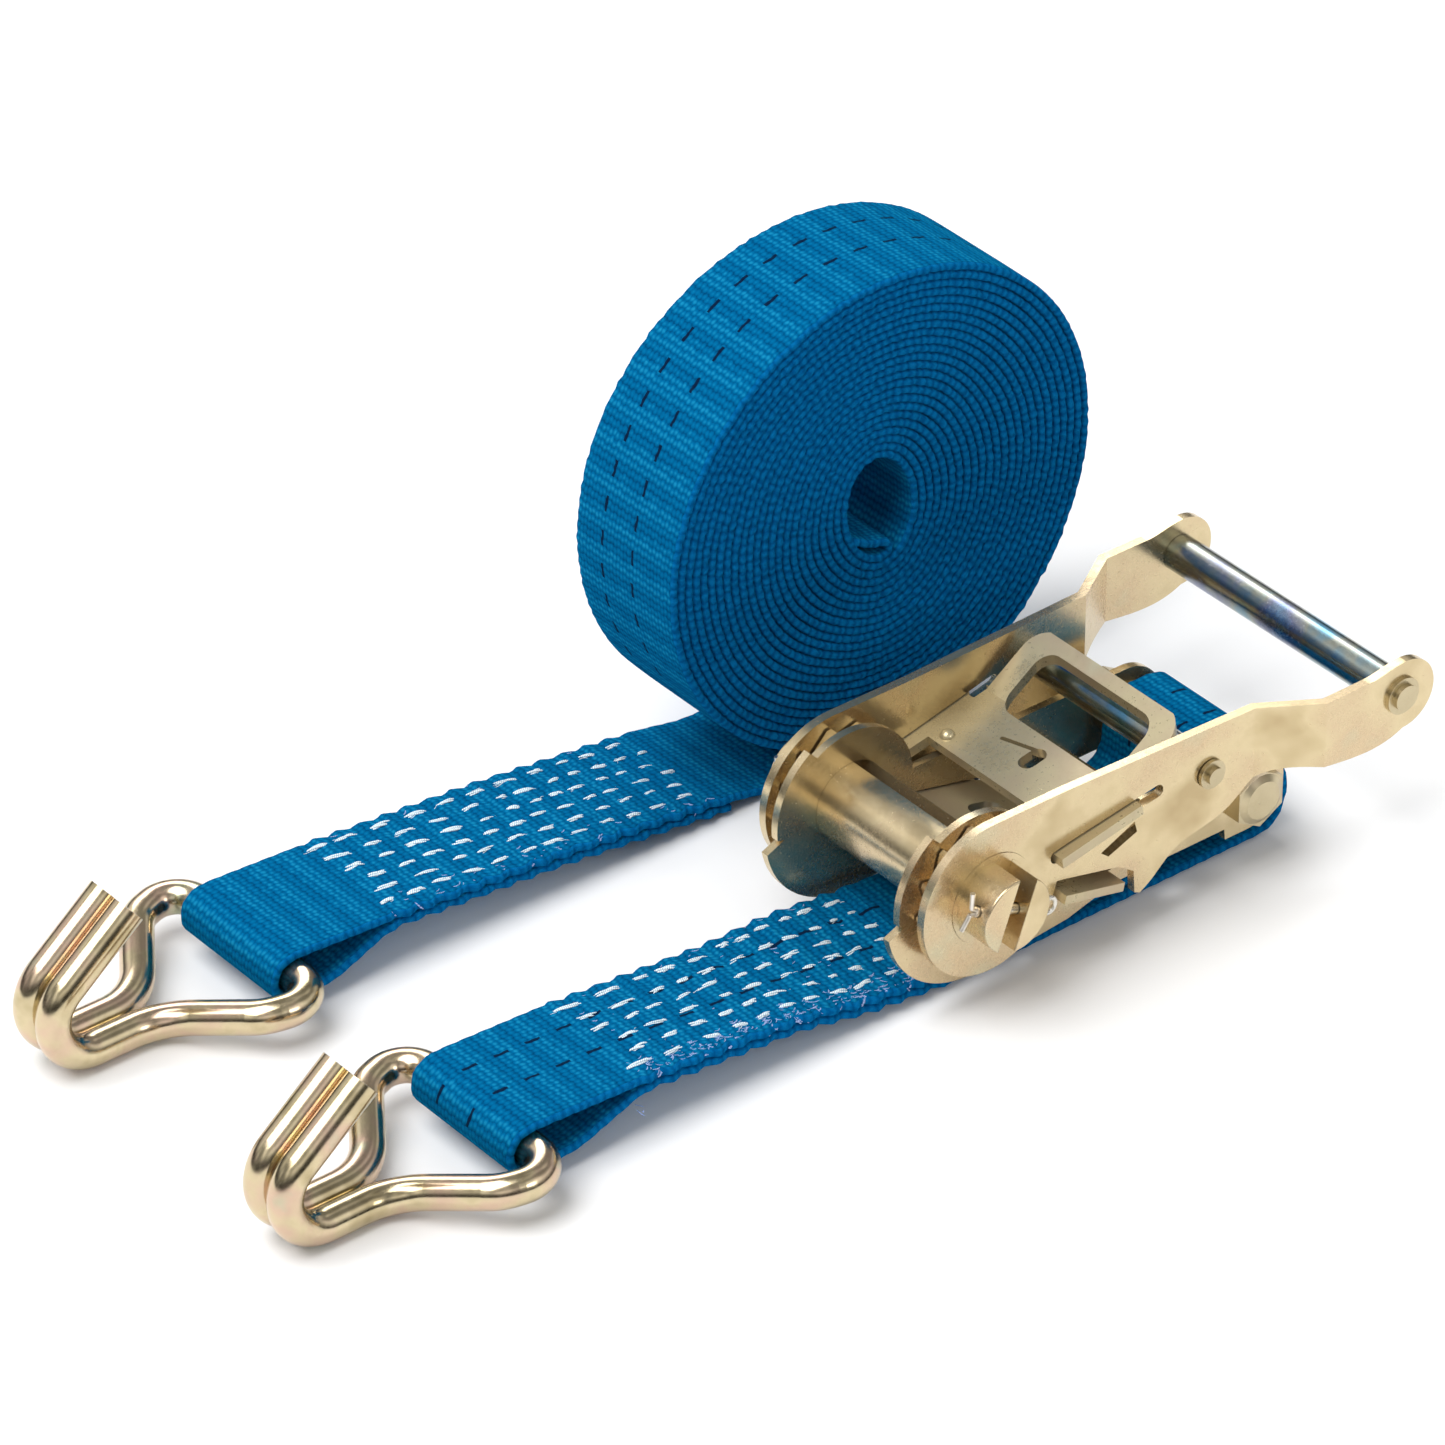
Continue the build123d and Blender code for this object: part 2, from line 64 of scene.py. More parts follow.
# ---------------------------------------------------------------- materials
class Graph:
    """A Principled material and the nodes that feed it."""

    def __init__(self, name):
        self.mat = bpy.data.materials.new(name)
        self.mat.use_nodes = True
        self.nodes = self.mat.node_tree.nodes
        self.links = self.mat.node_tree.links
        self.bsdf = self.nodes["Principled BSDF"]

    def add(self, kind, **values):
        node = self.nodes.new(kind)
        for key, value in values.items():
            setattr(node, key, value)
        return node

    def put(self, value, socket):
        if isinstance(value, (int, float, tuple)):
            socket.default_value = value
        else:
            self.links.new(value, socket)

    def math(self, op, a, b=0.0, c=0.0):
        node = self.add("ShaderNodeMath", operation=op)
        for i, v in enumerate((a, b, c)):
            self.put(v, node.inputs[i])
        return node.outputs[0]

    def noise(self, vector, scale, detail=3.0, rough=0.5):
        node = self.add("ShaderNodeTexNoise")
        self.links.new(vector, node.inputs["Vector"])
        node.inputs["Scale"].default_value = scale
        node.inputs["Detail"].default_value = detail
        node.inputs["Roughness"].default_value = rough
        return node.outputs["Fac"]

    def ramp(self, fac, stops):
        node = self.add("ShaderNodeValToRGB")
        self.links.new(fac, node.inputs[0])
        els = node.color_ramp.elements
        while len(els) < len(stops):
            els.new(0.5)
        for el, (pos, colour) in zip(els, stops):
            el.position = pos
            el.color = (*colour, 1)
        return node.outputs[0]

    def remap(self, value, a0, a1, b0, b1):
        node = self.add("ShaderNodeMapRange")
        self.put(value, node.inputs["Value"])
        for key, v in (("From Min", a0), ("From Max", a1), ("To Min", b0), ("To Max", b1)):
            node.inputs[key].default_value = v
        return node.outputs[0]

    def mix(self, fac, a, b, blend="MIX"):
        node = self.add("ShaderNodeMix", data_type="RGBA", blend_type=blend)
        self.put(fac, node.inputs[0])
        for i, v in ((6, a), (7, b)):
            self.put((*v, 1) if isinstance(v, tuple) else v, node.inputs[i])
        return node.outputs[2]

    def bump(self, height, strength, distance):
        node = self.add("ShaderNodeBump")
        self.links.new(height, node.inputs["Height"])
        node.inputs["Strength"].default_value = strength
        node.inputs["Distance"].default_value = distance
        self.links.new(node.outputs[0], self.bsdf.inputs["Normal"])


def metal(name, colours, rough, tint_scale=38.0, bump=0.12, metallic=1.0):
    """Plated steel: clouds of tint, a fine dull grain, drawn lines and an uneven gloss."""
    g = Graph(name)
    coord = g.add("ShaderNodeTexCoord").outputs["Object"]
    broad = g.noise(coord, tint_scale, 3.0, 0.55)
    fine = g.noise(coord, 900.0, 4.0, 0.65)
    stretch = g.add("ShaderNodeMapping")
    stretch.inputs["Scale"].default_value = (90.0, 2200.0, 600.0)
    g.links.new(coord, stretch.inputs["Vector"])
    lines = g.noise(stretch.outputs[0], 1.0, 2.0, 0.5)
    colour = g.ramp(broad, colours)
    grain = g.remap(g.noise(coord, 1150.0, 3.0, 0.6), 0.40, 0.66, 0.0, 0.17)
    cloud = g.remap(g.noise(coord, 120.0, 4.0, 0.65), 0.42, 0.68, 0.15, 1.0)
    dull = tuple(c * k for c, k in zip(colours[1][1], (0.62, 0.54, 0.46)))
    g.links.new(g.mix(g.math("MULTIPLY", grain, cloud), colour, dull), g.bsdf.inputs["Base Color"])
    g.bsdf.inputs["Metallic"].default_value = metallic
    wear = g.math("ADD", g.math("MULTIPLY", broad, 0.5), g.math("MULTIPLY", fine, 0.5))
    g.links.new(g.remap(wear, 0.3, 0.7, rough[0], rough[1]), g.bsdf.inputs["Roughness"])
    height = g.math("ADD", g.math("MULTIPLY", fine, 0.55), g.math("MULTIPLY", lines, 0.45))
    g.bump(height, bump, 0.0001)
    return g.mat


ZINC = metal(
    "zinc_passivated",
    [
        (0.30, (0.52, 0.40, 0.22)),
        (0.45, (0.72, 0.59, 0.36)),
        (0.58, (0.66, 0.51, 0.32)),
        (0.72, (0.60, 0.56, 0.38)),
    ],
    (0.15, 0.34),
    metallic=0.9,
)
PLATE = metal(
    "zinc_passivated_pawl",
    [
        (0.30, (0.44, 0.37, 0.22)),
        (0.45, (0.56, 0.48, 0.30)),
        (0.58, (0.52, 0.42, 0.28)),
        (0.72, (0.48, 0.46, 0.32)),
    ],
    (0.22, 0.40),
    metallic=0.62,
)
HOOK = metal(
    "zinc_passivated_wire",
    [
        (0.30, (0.42, 0.34, 0.19)),
        (0.45, (0.62, 0.52, 0.33)),
        (0.57, (0.62, 0.45, 0.33)),
        (0.70, (0.46, 0.48, 0.33)),
    ],
    (0.13, 0.26),
    tint_scale=70.0,
    bump=0.08,
)
FASTENER = metal(
    "zinc_fastener",
    [
        (0.30, (0.48, 0.40, 0.25)),
        (0.50, (0.60, 0.51, 0.33)),
        (0.60, (0.54, 0.44, 0.31)),
        (0.72, (0.50, 0.48, 0.36)),
    ],
    (0.24, 0.42),
)
BRIGHT = metal(
    "bright_plated",
    [
        (0.30, (0.16, 0.38, 0.54)),
        (0.45, (0.40, 0.42, 0.36)),
        (0.58, (0.26, 0.28, 0.40)),
        (0.72, (0.12, 0.36, 0.54)),
    ],
    (0.16, 0.32),
    tint_scale=60.0,
    bump=0.04,
)
WIRE = metal(
    "spring_wire",
    [
        (0.30, (0.70, 0.68, 0.62)),
        (0.50, (0.80, 0.76, 0.68)),
        (0.60, (0.74, 0.68, 0.60)),
        (0.72, (0.66, 0.66, 0.62)),
    ],
    (0.22, 0.4),
)


# pitches of the weave and places of its dark tracer yarns, in mm
WARP_YARN, WEFT_RIB, SOFT_RIB, SELVEDGE_BEAD = 1.25, 1.9, 8.6, 2.3
TRACER_PITCH, TRACER_ROWS = 8.5, (8.0, -3.2)


def webbing(name):
    """Woven polyester. In the map, u runs along the strap in mm and v across it.

    One face has v from -17.5 to 17.5, the other is 100 higher; edges and cut ends lie from 50 to 70.
    """
    g = Graph(name)
    uv = g.add("ShaderNodeUVMap", uv_map="weave").outputs[0]
    split = g.add("ShaderNodeSeparateXYZ")
    g.links.new(uv, split.inputs[0])
    u, v = split.outputs[0], split.outputs[1]
    wander = g.noise(uv, 0.35, 3.0, 0.6)
    uw = g.math("ADD", u, g.math("MULTIPLY", wander, 0.9))
    # weft ribs, and warp yarns that pass over them alternately
    yarn = g.math("FLOOR", g.math("MULTIPLY", v, 1 / WARP_YARN))
    parity = g.math("MODULO", g.math("ABSOLUTE", yarn), 2.0)
    phase = g.math("ADD", g.math("MULTIPLY", uw, 1 / WEFT_RIB), g.math("MULTIPLY", parity, 0.16))
    rib = g.math("ABSOLUTE", g.math("SINE", g.math("MULTIPLY", phase, pi)))
    warp = g.math("ABSOLUTE", g.math("SINE", g.math("MULTIPLY", v, pi / WARP_YARN)))
    drift = g.math("ADD", u, g.math("MULTIPLY", wander, 6.0))
    slow = g.math("SINE", g.math("MULTIPLY", drift, 2 * pi / SOFT_RIB))
    fibre = g.noise(uv, 5.0, 4.0, 0.7)
    height = g.math("ADD", g.math("MULTIPLY", rib, 0.62), g.math("MULTIPLY", warp, 0.3))
    height = g.math("ADD", height, g.math("MULTIPLY", fibre, 0.35))
    height = g.math("ADD", height, g.math("MULTIPLY", slow, 0.15))
    # colour follows the weave's height: lighter rib crests and soft ribs are painted highlight, darker
    # valleys painted shade; the wander adds the yarn's own uneven colour
    tone_with_painted_light = g.math("ADD", g.math("MULTIPLY", height, 0.62), g.math("MULTIPLY", wander, 0.3))
    colour = g.ramp(
        tone_with_painted_light,
        [
            (0.18, (0.0003, 0.044, 0.130)),
            (0.45, (0.0005, 0.088, 0.232)),
            (0.72, (0.0008, 0.128, 0.305)),
            (0.95, (0.008, 0.225, 0.43)),
        ],
    )
    # beads of weft along the edges, coloured lighter and bluer than the faces as painted light for the side
    # faces, with a painted highlight on each bead's crest and painted shade between beads
    side = g.math("MULTIPLY", g.math("GREATER_THAN", v, 40.0), g.math("LESS_THAN", v, 75.0))
    knots = g.math("ADD", u, g.math("MULTIPLY", wander, 3.0))
    bead = g.math("ABSOLUTE", g.math("SINE", g.math("MULTIPLY", knots, pi / SELVEDGE_BEAD)))
    bead = g.math("MULTIPLY", bead, g.remap(fibre, 0.3, 0.7, 0.55, 1.1))
    edge_colour_with_painted_light = g.ramp(
        bead,
        [(0.05, (0.0005, 0.088, 0.265)), (0.5, (0.0008, 0.126, 0.360)), (0.95, (0.003, 0.190, 0.490))],
    )
    colour = g.mix(side, colour, edge_colour_with_painted_light)
    height = g.math("ADD", height, g.math("MULTIPLY", g.math("MULTIPLY", bead, side), 0.6))
    # two rows of tracer dashes, swaying a little
    dash = g.math("LESS_THAN", g.math("FRACT", g.math("MULTIPLY", u, 1 / TRACER_PITCH)), 0.46)
    sway = g.math("MULTIPLY", g.math("SUBTRACT", g.noise(uv, 0.6, 1.0), 0.5), 0.8)
    vs = g.math("ADD", v, sway)
    rows = [
        g.math("LESS_THAN", g.math("ABSOLUTE", g.math("SUBTRACT", vs, at)), 0.42) for at in TRACER_ROWS
    ]
    mask = g.math("MULTIPLY", g.math("MULTIPLY", dash, g.math("MAXIMUM", *rows)), 0.94)
    colour = g.mix(mask, colour, (0.004, 0.008, 0.03))
    g.links.new(colour, g.bsdf.inputs["Base Color"])
    g.links.new(g.remap(height, 0.2, 1.1, 0.72, 0.5), g.bsdf.inputs["Roughness"])
    g.bsdf.inputs["Specular IOR Level"].default_value = 0.0
    g.bsdf.inputs["Sheen Weight"].default_value = 0.16
    g.bsdf.inputs["Sheen Roughness"].default_value = 0.4
    g.bsdf.inputs["Sheen Tint"].default_value = (0.02, 0.40, 0.62, 1)
    g.bump(height, 0.75, 0.00045)
    return g.mat


TWIST_PITCH = 0.9


def thread(name, stops):
    """Twisted yarn, coloured by its height: its own colour, with painted highlight on the twist's crests and
    painted shade in its grooves.
    """
    g = Graph(name)
    uv = g.add("ShaderNodeUVMap", uv_map="weave").outputs[0]
    split = g.add("ShaderNodeSeparateXYZ")
    g.links.new(uv, split.inputs[0])
    along = g.math("MULTIPLY", split.outputs[0], 2 * pi / TWIST_PITCH)
    lay = g.math("ADD", along, g.math("MULTIPLY", split.outputs[1], 2 * pi))
    twist = g.math("ABSOLUTE", g.math("SINE", lay))
    fuzz = g.noise(uv, 3.0, 4.0, 0.7)
    height = g.math("ADD", g.math("MULTIPLY", twist, 0.7), g.math("MULTIPLY", fuzz, 0.5))
    g.links.new(g.ramp(height, stops), g.bsdf.inputs["Base Color"])
    g.links.new(g.remap(fuzz, 0.3, 0.7, 0.45, 0.65), g.bsdf.inputs["Roughness"])
    g.bsdf.inputs["Sheen Weight"].default_value = 0.3
    g.bump(height, 0.5, 0.0002)
    return g.mat


WEBBING = webbing("polyester_webbing")
# the stitch and fibre colours run from painted shade in the twist's grooves to painted highlight on its
# crests
THREAD = thread(
    "stitch_thread", [(0.25, (0.10, 0.34, 0.56)), (0.5, (0.50, 0.70, 0.82)), (0.8, (0.88, 0.94, 0.96))]
)
FLUFF = thread(
    "loose_fibre", [(0.25, (0.02, 0.12, 0.36)), (0.5, (0.12, 0.26, 0.60)), (0.8, (0.42, 0.52, 0.86))]
)

LOOKS = {
    "base_frame": ZINC, "spindle_half_left": ZINC, "spindle_half_right": ZINC,
    "ratchet_wheel_near": ZINC, "ratchet_wheel_far": ZINC, "handle_plate_near": ZINC,
    "handle_plate_far": ZINC, "drive_pawl": PLATE, "lock_pawl": PLATE,
    "short_hook": HOOK, "long_hook": HOOK, "bolt_sleeve": FASTENER,
    "fixed_bolt": FASTENER, "fixed_nut": FASTENER, "cross_rivet": FASTENER, "grip_rivet": FASTENER,
    "cross_tube": BRIGHT, "grip_tube": BRIGHT, "cotter_pins": WIRE,
    "drive_spring_near": WIRE, "drive_spring_far": WIRE, "lock_spring": WIRE,
}
for node, look in LOOKS.items():
    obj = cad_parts[node]
    obj.data.materials.clear()
    obj.data.materials.append(look)


# ---------------------------------------------------------------- webbing geometry
CORNER = 0.86  # how strongly an arc is drawn towards its corner


def filleted(points, radius):
    """The polyline's corners rounded with arcs of about that radius, as a list of points."""
    out = [points[0]]
    for p, q, r in zip(points, points[1:], points[2:]):
        a, b = (p[0] - q[0], p[1] - q[1]), (r[0] - q[0], r[1] - q[1])
        la, lb = hypot(*a), hypot(*b)
        cosine = max(-1.0, min(1.0, (a[0] * b[0] + a[1] * b[1]) / (la * lb)))
        half = sqrt(max(1e-9, (1 - cosine) / 2))
        back = radius * sqrt(max(0.0, 1 - half * half)) / half
        back = min(back, la / 2, lb / 2)
        s = (q[0] + a[0] / la * back, q[1] + a[1] / la * back)
        e = (q[0] + b[0] / lb * back, q[1] + b[1] / lb * back)
        for k in range(9):
            t = k / 8
            point = []
            for a0, corner, a1 in zip(s, q, e):
                pulled = 2 * corner * t * (1 - t) * CORNER + (a0 + a1) * t * (1 - t) * (1 - CORNER)
                point.append(a0 * (1 - t) ** 2 + pulled + a1 * t * t)
            out.append(tuple(point))
    return out + [points[-1]]


def resampled(points, step):
    """The same line with evenly spaced points, about step apart."""
    run = [0.0]
    for p, q in zip(points, points[1:]):
        run.append(run[-1] + hypot(q[0] - p[0], q[1] - p[1]))
    count = max(2, int(round(run[-1] / step)))
    out, i = [], 0
    for k in range(count + 1):
        s = run[-1] * k / count
        while i < len(run) - 2 and run[i + 1] < s:
            i += 1
        t = (s - run[i]) / max(1e-9, run[i + 1] - run[i])
        p, q = points[i], points[i + 1]
        out.append((p[0] + (q[0] - p[0]) * t, p[1] + (q[1] - p[1]) * t))
    return out


def eased(points, passes, closed=False):
    """The line smoothed by averaging each point with its neighbours."""
    for _ in range(passes):
        n = len(points)
        fresh = list(points)
        for i in range(0 if closed else 1, n if closed else n - 1):
            p, q, r = points[i - 1], points[i], points[(i + 1) % n]
            fresh[i] = ((p[0] + 2 * q[0] + r[0]) / 4, (p[1] + 2 * q[1] + r[1]) / 4)
        points = fresh
    return points


WIDTH = 17.5  # half the webbing's width
COLUMNS = 14  # mesh columns across a face
EDGE = 3  # mesh rows round an edge
STEP = 1.6  # spacing of the mesh rings
WEB_THICK, ROLL_THICK = 2.1, 1.93
PUCKER = 6.4  # pitch of the waves that the seams draw into the webbing


def smooth_object(name, verts, faces, uvs, *materials):
    """A smooth-shaded mesh object, with the map "weave" where uvs are given."""
    mesh = bpy.data.meshes.new(name)
    mesh.from_pydata(verts, [], faces)
    if uvs:
        layer = mesh.uv_layers.new(name="weave")
        for k, uvk in enumerate(uvs):
            layer.data[k].uv = uvk
    mesh.polygons.foreach_set("use_smooth", [True] * len(mesh.polygons))
    for material in materials:
        mesh.materials.append(material)
    mesh.update()
    obj = bpy.data.objects.new(name, mesh)
    bpy.context.scene.collection.objects.link(obj)
    return obj


def strap(name, path, centre_y, closed, thick, ripple, lift, body):
    """Webbing along a path in the x-z plane, as an object and its length in mm.

    For ring i, thick(i) is its thickness, ripple(i) its puff and extra half width, lift(i, y) its rise at y.
    """
    n = len(path)
    verts, us = [], [0.0]
    for i in range(n):
        p = path[i - 1] if (i or closed) else path[i]
        q = path[(i + 1) % n] if (i < n - 1 or closed) else path[i]
        length = hypot(q[0] - p[0], q[1] - p[1])
        tx, tz = (q[0] - p[0]) / length, (q[1] - p[1]) / length
        nx, nz = -tz, tx
        if i:
            us.append(us[-1] + hypot(path[i][0] - path[i - 1][0], path[i][1] - path[i - 1][1]))
        t, (puff, edge) = thick(i), ripple(i)
        w = WIDTH - t * 0.35 + edge
        ring = []
        for c in range(COLUMNS + 1):
            y = -w + 2 * w * c / COLUMNS
            ring.append((y, -t / 2 - max(0.0, puff) * (1 - abs(y / w) ** 6)))
        for e in range(1, EDGE):
            a = -pi / 2 + pi * e / EDGE
            ring.append((w + t * 0.38 * cos(a), t / 2 * sin(a)))
        for c in range(COLUMNS + 1):
            y = w - 2 * w * c / COLUMNS
            ring.append((y, t / 2 + max(0.0, -puff) * (1 - abs(y / w) ** 6)))
        for e in range(1, EDGE):
            a = pi / 2 + pi * e / EDGE
            ring.append((-w + t * 0.38 * cos(a), t / 2 * sin(a)))
        for y, b in ring:
            verts.append(place(path[i][0] + nx * b, centre_y + y, path[i][1] + nz * b + lift(i, y)))
    m = 2 * (COLUMNS + 1) + 2 * (EDGE - 1)
    across = []  # the map's v on both sides of each quad of a ring
    for c in range(COLUMNS):
        across.append((-WIDTH + 2 * WIDTH * c / COLUMNS, -WIDTH + 2 * WIDTH * (c + 1) / COLUMNS))
    for e in range(EDGE):
        across.append((50 + 0.9 * e, 50 + 0.9 * (e + 1)))
    for c in range(COLUMNS):
        across.append((100 + WIDTH - 2 * WIDTH * c / COLUMNS, 100 + WIDTH - 2 * WIDTH * (c + 1) / COLUMNS))
    for e in range(EDGE):
        across.append((60 + 0.9 * e, 60 + 0.9 * (e + 1)))
    faces, uvs = [], []
    for i in range(n if closed else n - 1):
        k = (i + 1) % n
        u0 = us[i]
        u1 = us[i + 1] if i + 1 < n else us[i] + (us[i] - us[i - 1])
        for j in range(m):
            l = (j + 1) % m
            faces.append((i * m + j, i * m + l, k * m + l, k * m + j))
            v0, v1 = across[j]
            uvs += [(u0, v0), (u0, v1), (u1, v1), (u1, v0)]
    if not closed:
        faces.append(tuple(range(m - 1, -1, -1)))
        faces.append(tuple(range((n - 1) * m, n * m)))
        uvs += [(0.7 * k, 70.0) for k in range(2 * m)]
    obj = smooth_object(name, verts, faces, uvs, WEBBING)
    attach(obj, body)
    return obj, us[-1]


def bell(x, low, high, soft):
    """1 between low and high, falling to 0 over soft."""
    a = max(0.0, min(1.0, (x - low + soft) / soft))
    b = max(0.0, min(1.0, (high + soft - x) / soft))
    return a * a * (3 - 2 * a) * b * b * (3 - 2 * b)


# ---- short strap: one belt through the hook, under the ratchet and round the bolt
HOOK_X, LONG_HOOK_X, LONG_Y = -118.5, -120.3, 82.0
short_top = [
    (-4, 5.7), (-40, 9.7), (-88, 14.0), (HOOK_X - 5.8, 15.7), (HOOK_X - 5.8, 4.3),
    (-106, 4.9), (-88, 11.8), (-40, 7.5), (-4, 3.5), (14, 1.3), (94.5, 1.3), (97.5, 12.0), (89.4, 27.4),
    (72.6, 27.4), (72.6, 13.0), (58, 5.4), (14, 4.8), (-4, 5.7),
]
belt = resampled(filleted(short_top, 5.0), STEP)[:-1]
belt = eased(belt, 3, True)


def seam_lift(x, y):
    """The seam's end by the ratchet lies higher on its far side."""
    return y / WIDTH * 2.0 * bell(x, -22, 12, 26)


def short_lift(i, y):
    x, z = belt[i]
    return seam_lift(x, y) * min(1.0, max(0.08, (z - 1.3) / 2))


def short_ripple(i):
    seam = bell(belt[i][0], -86, -6, 5)
    wave = cos(2 * pi * i * STEP / PUCKER)
    return 0.32 * seam * (0.5 + 0.5 * wave), 0.12 * sin(i * 2.1) + 0.6 * seam * wave


short_web, short_len = strap(
    "short_webbing", belt, 0.0, True, lambda i: WEB_THICK, short_ripple, short_lift, "ratchet_frame"
)
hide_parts("short_strap")

# ---- long strap: loop, seam, tail and roll
ROLL_X, ROLL_Z, ROLL_TOP = 45.9, 64.0, 61.2
TURNS = 23.6  # from the tail on the floor to the eye
INNER_LAP = 0.4  # part of a turn inside the eye, before the fold
PER_TURN = 240  # points of the spiral in one turn
EYE_A, EYE_B, EYE_TURN = 13.5, 9.0, 100.0  # half axes of the roll's oval eye, and its lean in degrees


def eye_radius(theta):
    """The innermost turn's distance from the roll's middle."""
    a = theta - radians(EYE_TURN)
    return 1.0 + EYE_A * EYE_B / hypot(EYE_B * cos(a), EYE_A * sin(a))


long_run = [
    (2, 1.6), (-9, 3.2), (-45, 7.5), (-94, 11.7), (-110, 4.9), (LONG_HOOK_X - 5.8, 4.3),
    (LONG_HOOK_X - 5.8, 15.7), (-94, 13.9), (-45, 9.7), (-9, 5.4), (3, 3.8),
    (14, 1.5), (20, 1.3), (ROLL_X, 1.3),
]
lead = resampled(filleted(long_run, 5.0), STEP)
lead = eased(lead, 3)
spiral = []
for k in range(1, int((TURNS + INNER_LAP) * PER_TURN) + 1):
    turn = k / PER_TURN
    theta = -pi / 2 + 2 * pi * turn
    start = 1.5 * max(0.0, 1 - turn / 0.22) ** 2
    outer = ROLL_TOP + start + 0.35 * sin(2 * theta + 0.6) + 0.22 * sin(3 * theta)
    share = turn / TURNS
    inner = eye_radius(theta)
    r = outer + (inner - outer) * share + 0.22 * sin(5 * theta + 4 * share) * sin(pi * share)
    spiral.append((ROLL_X - 1.0 * share + r * cos(theta), ROLL_Z + 1.0 * share + r * sin(theta)))
# the inner end is folded back on itself
(px, pz), (qx, qz) = spiral[-1], spiral[-6]
tx, tz = (px - qx) / hypot(px - qx, pz - qz), (pz - qz) / hypot(px - qx, pz - qz)
fold = [(0, 0), (2.2, 0.5), (3.6, 2.2), (2.0, 4.0), (-3.5, 3.7), (-9.5, 4.9)]
bend = [(px + tx * a - tz * b, pz + tz * a + tx * b) for a, b in fold]
spiral = spiral[:-1] + filleted(bend, 2.0)
spiral = resampled(spiral, STEP)
path_long = lead + spiral[1:]
first_roll = len(lead)
jitter = [random.uniform(-0.2, 0.2) + 0.14 * (-1) ** i for i in range(len(path_long))]


def long_thick(i):
    """Thinner in the roll; the change starts 30 rings before it."""
    share = max(0.0, (i - first_roll + 30) / 30)
    return max(ROLL_THICK, WEB_THICK - (WEB_THICK - ROLL_THICK) * share)


def long_ripple(i):
    if i >= first_roll:
        return 0.16 * (0.5 + 0.5 * cos(2 * pi * i * STEP / SOFT_RIB)), jitter[i]
    seam = bell(path_long[i][0], -92, -2, 5)
    wave = cos(2 * pi * i * STEP / PUCKER)
    return -0.32 * seam * (0.5 + 0.5 * wave), 0.12 * sin(i * 2.1) + 0.6 * seam * wave


def level(_, y):
    """No rise: the long strap lies flat across its width."""
    return 0.0


long_web, long_len = strap(
    "long_webbing", path_long, LONG_Y, False, long_thick, long_ripple, level, "long_strap_body"
)
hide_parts("long_strap")


# ---------------------------------------------------------------- stitching
def strand(verts, faces, uvs, centre, half, radius, shape):
    """A short rounded thread along local x; shape(t) gives its middle (y, z) for t from -1 to 1."""
    sides, rings = 6, 9
    base = len(verts)
    for i in range(rings):
        t = -1 + 2 * i / (rings - 1)
        r = radius * sqrt(max(0.03, 1 - abs(t) ** 3.0))
        cy, cz = shape(t)
        for j in range(sides):
            a = 2 * pi * j / sides
            verts.append(centre(t * half, cy + r * cos(a), cz + r * sin(a) * 0.7))
    seed = random.uniform(0, 400)
    for i in range(rings - 1):
        for j in range(sides):
            l = (j + 1) % sides
            a, b = base + i * sides, base + (i + 1) * sides
            faces.append((a + j, b + j, b + l, a + l))
            u0, u1 = seed + i * 2 * half / rings, seed + (i + 1) * 2 * half / rings
            uvs.extend([(u0, j / sides), (u1, j / sides), (u1, (j + 1) / sides), (u0, (j + 1) / sides)])
    for ring, order in ((base, -1), (base + (rings - 1) * sides, 1)):
        faces.append(tuple([ring + j for j in range(sides)][::order]))
        uvs.extend([(seed, 0.0)] * sides)


def stitch(verts, faces, uvs, centre, half, radius):
    """Three uneven strands lying side by side, and loose fibres over them."""
    turn = random.uniform(0, 6)
    for k in range(3):
        reach = half * random.uniform(0.72, 1.0)
        slip = random.uniform(-0.5, 0.5) * (half - reach)
        lean = random.uniform(-0.22, 0.22)

        def shape(t, k=k, lean=lean):
            spin = 2 * pi * k / 3 + turn + 1.7 * t
            return 1.3 * radius * cos(spin) + lean * t, 0.5 * radius * sin(spin) - 0.55 * abs(t) ** 3

        def moved(x, y, z, slip=slip):
            return centre(x + slip, y, z)

        strand(verts, faces, uvs, moved, reach, radius * random.uniform(0.75, 1.1), shape)
    for k in range(2):
        side, lean, high = random.uniform(-0.8, 0.8), random.uniform(-0.7, 0.7), random.uniform(0.0, 0.35)
        slip = random.uniform(-0.7, 0.7) * half

        def shape(t, side=side, lean=lean, high=high):
            return side + lean * t + 0.15 * sin(4 * t), high * (1 - t * t) - 0.3

        def moved(x, y, z, slip=slip):
            return centre(x + slip, y, z)

        strand(verts, faces, uvs, moved, half * random.uniform(0.3, 0.7), random.uniform(0.07, 0.12), shape)


def on_line(line, x):
    """Height and slope at x of a line of (x, z) points."""
    for (ax, az), (bx, bz) in zip(line, line[1:]):
        if ax <= x <= bx:
            return az + (bz - az) * (x - ax) / (bx - ax), atan2(bz - az, bx - ax)
    return line[-1][1], 0.0


STITCH_ROWS, FIRST_ROW, ROW_PITCH = 6, 13.5, 5.2


